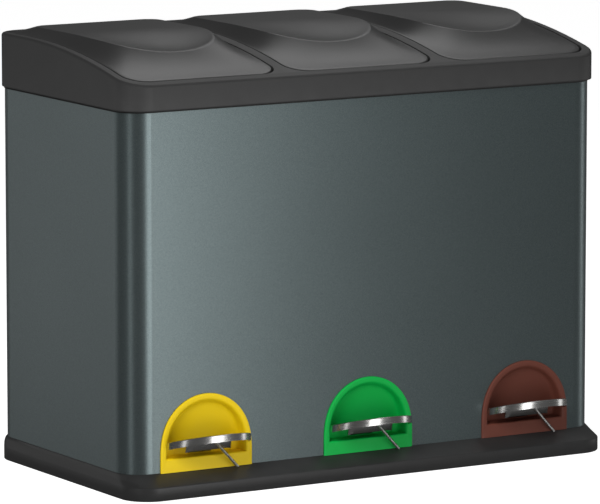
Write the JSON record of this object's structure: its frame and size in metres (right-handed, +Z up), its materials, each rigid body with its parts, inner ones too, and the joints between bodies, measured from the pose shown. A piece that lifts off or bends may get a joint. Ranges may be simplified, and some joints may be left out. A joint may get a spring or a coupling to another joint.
{
  "type": "pedal waste sorting bin",
  "caption": "Wide indoor bin for sorting waste: steel body, moulded base and top frame, hinged lids worked by coloured pedals, and removable buckets.",
  "frame": {"origin": "on the floor, at the middle of the whole object's footprint", "axes": "+X to the right along the width as seen from the front, +Y to the back, +Z up; the pedals are at -Y"},
  "size_m": [0.5864, 0.332, 0.47],
  "materials": {
    "lacquered_steel": "satin metallic slate lacquer",
    "black_plastic": "fine texture",
    "dark_plastic": "fine texture",
    "yellow_plastic": "semi-gloss moulding",
    "green_plastic": "semi-gloss moulding",
    "brown_plastic": "semi-gloss moulding",
    "satin_steel": "satin",
    "zinc_steel": "zinc plated",
    "spring_steel": "drawn wire",
    "bucket_plastic": "fine texture",
    "rubber": "matt"
  },
  "bodies": {
    "housing_group": {"shell": "lacquered_steel", "base": "black_plastic", "feet": "rubber", "top_frame": "dark_plastic", "lid_buffers": "rubber", "bracket_screws": "zinc_steel", "hinge_pin_left": "zinc_steel", "rod_clip_left": "black_plastic", "pedal_bracket_left": "zinc_steel", "pedal_pin_left": "zinc_steel", "pedal_housing_left": "yellow_plastic", "pedal_spring_left": "spring_steel", "bucket_left": "bucket_plastic", "hinge_pin_middle": "zinc_steel", "rod_clip_middle": "black_plastic", "pedal_bracket_middle": "zinc_steel", "pedal_pin_middle": "zinc_steel", "pedal_housing_middle": "green_plastic", "pedal_spring_middle": "spring_steel", "bucket_middle": "bucket_plastic", "hinge_pin_right": "zinc_steel", "rod_clip_right": "black_plastic", "pedal_bracket_right": "zinc_steel", "pedal_pin_right": "zinc_steel", "pedal_housing_right": "brown_plastic", "pedal_spring_right": "spring_steel", "bucket_right": "bucket_plastic"},
    "lid_group_left": {"lid_left": "dark_plastic"},
    "rod_group_left": {"lift_rod_left": "zinc_steel"},
    "pedal_group_left": {"pedal_tread_left": "satin_steel", "pedal_lever_left": "zinc_steel", "pedal_rivets_left": "zinc_steel"},
    "handle_group_left": {"bucket_handle_left": "zinc_steel", "handle_grip_left": "black_plastic"},
    "lid_group_middle": {"lid_middle": "dark_plastic"},
    "rod_group_middle": {"lift_rod_middle": "zinc_steel"},
    "pedal_group_middle": {"pedal_tread_middle": "satin_steel", "pedal_lever_middle": "zinc_steel", "pedal_rivets_middle": "zinc_steel"},
    "handle_group_middle": {"bucket_handle_middle": "zinc_steel", "handle_grip_middle": "black_plastic"},
    "lid_group_right": {"lid_right": "dark_plastic"},
    "rod_group_right": {"lift_rod_right": "zinc_steel"},
    "pedal_group_right": {"pedal_tread_right": "satin_steel", "pedal_lever_right": "zinc_steel", "pedal_rivets_right": "zinc_steel"},
    "handle_group_right": {"bucket_handle_right": "zinc_steel", "handle_grip_right": "black_plastic"}
  },
  "joints": [
    {"name": "lid_open_left", "type": "hinge", "parent": "housing_group", "child": "lid_group_left", "pos_m": [-0.19293, 0.1484, 0.457], "axis": [-1, 0, 0], "range_deg": [0, 77]},
    {"name": "rod_lift_left", "type": "slide", "parent": "housing_group", "child": "rod_group_left", "axis": [0, 0, 1], "range_m": [0, 0.024]},
    {"name": "pedal_press_left", "type": "hinge", "parent": "housing_group", "child": "pedal_group_left", "pos_m": [-0.19793, -0.057, 0.033], "axis": [1, 0, 0], "range_deg": [0, 7], "deforming": ["pedal_spring_left"]},
    {"name": "handle_swing_left", "type": "hinge", "parent": "housing_group", "child": "handle_group_left", "pos_m": [-0.19293, 0.01, 0.388], "axis": [1, 0, 0], "range_deg": [0, 30]},
    {"name": "lid_open_middle", "type": "hinge", "parent": "housing_group", "child": "lid_group_middle", "pos_m": [0, 0.1484, 0.457], "axis": [-1, 0, 0], "range_deg": [0, 77]},
    {"name": "rod_lift_middle", "type": "slide", "parent": "housing_group", "child": "rod_group_middle", "axis": [0, 0, 1], "range_m": [0, 0.024]},
    {"name": "pedal_press_middle", "type": "hinge", "parent": "housing_group", "child": "pedal_group_middle", "pos_m": [0, -0.057, 0.033], "axis": [1, 0, 0], "range_deg": [0, 7], "deforming": ["pedal_spring_middle"]},
    {"name": "handle_swing_middle", "type": "hinge", "parent": "housing_group", "child": "handle_group_middle", "pos_m": [0, 0.01, 0.388], "axis": [1, 0, 0], "range_deg": [0, 30]},
    {"name": "lid_open_right", "type": "hinge", "parent": "housing_group", "child": "lid_group_right", "pos_m": [0.19293, 0.1484, 0.457], "axis": [-1, 0, 0], "range_deg": [0, 77]},
    {"name": "rod_lift_right", "type": "slide", "parent": "housing_group", "child": "rod_group_right", "axis": [0, 0, 1], "range_m": [0, 0.024]},
    {"name": "pedal_press_right", "type": "hinge", "parent": "housing_group", "child": "pedal_group_right", "pos_m": [0.19793, -0.057, 0.033], "axis": [1, 0, 0], "range_deg": [0, 7], "deforming": ["pedal_spring_right"]},
    {"name": "handle_swing_right", "type": "hinge", "parent": "housing_group", "child": "handle_group_right", "pos_m": [0.19293, 0.01, 0.388], "axis": [1, 0, 0], "range_deg": [0, 30]}
  ],
  "couplings": [
    {"joint": "rod_lift_left", "follows": "lid_open_left", "m_per_rad": 0.017784},
    {"joint": "pedal_press_left", "follows": "lid_open_left", "ratio": 0.0909},
    {"joint": "rod_lift_middle", "follows": "lid_open_middle", "m_per_rad": 0.017784},
    {"joint": "pedal_press_middle", "follows": "lid_open_middle", "ratio": 0.0909},
    {"joint": "rod_lift_right", "follows": "lid_open_right", "m_per_rad": 0.017784},
    {"joint": "pedal_press_right", "follows": "lid_open_right", "ratio": 0.0909}
  ]
}
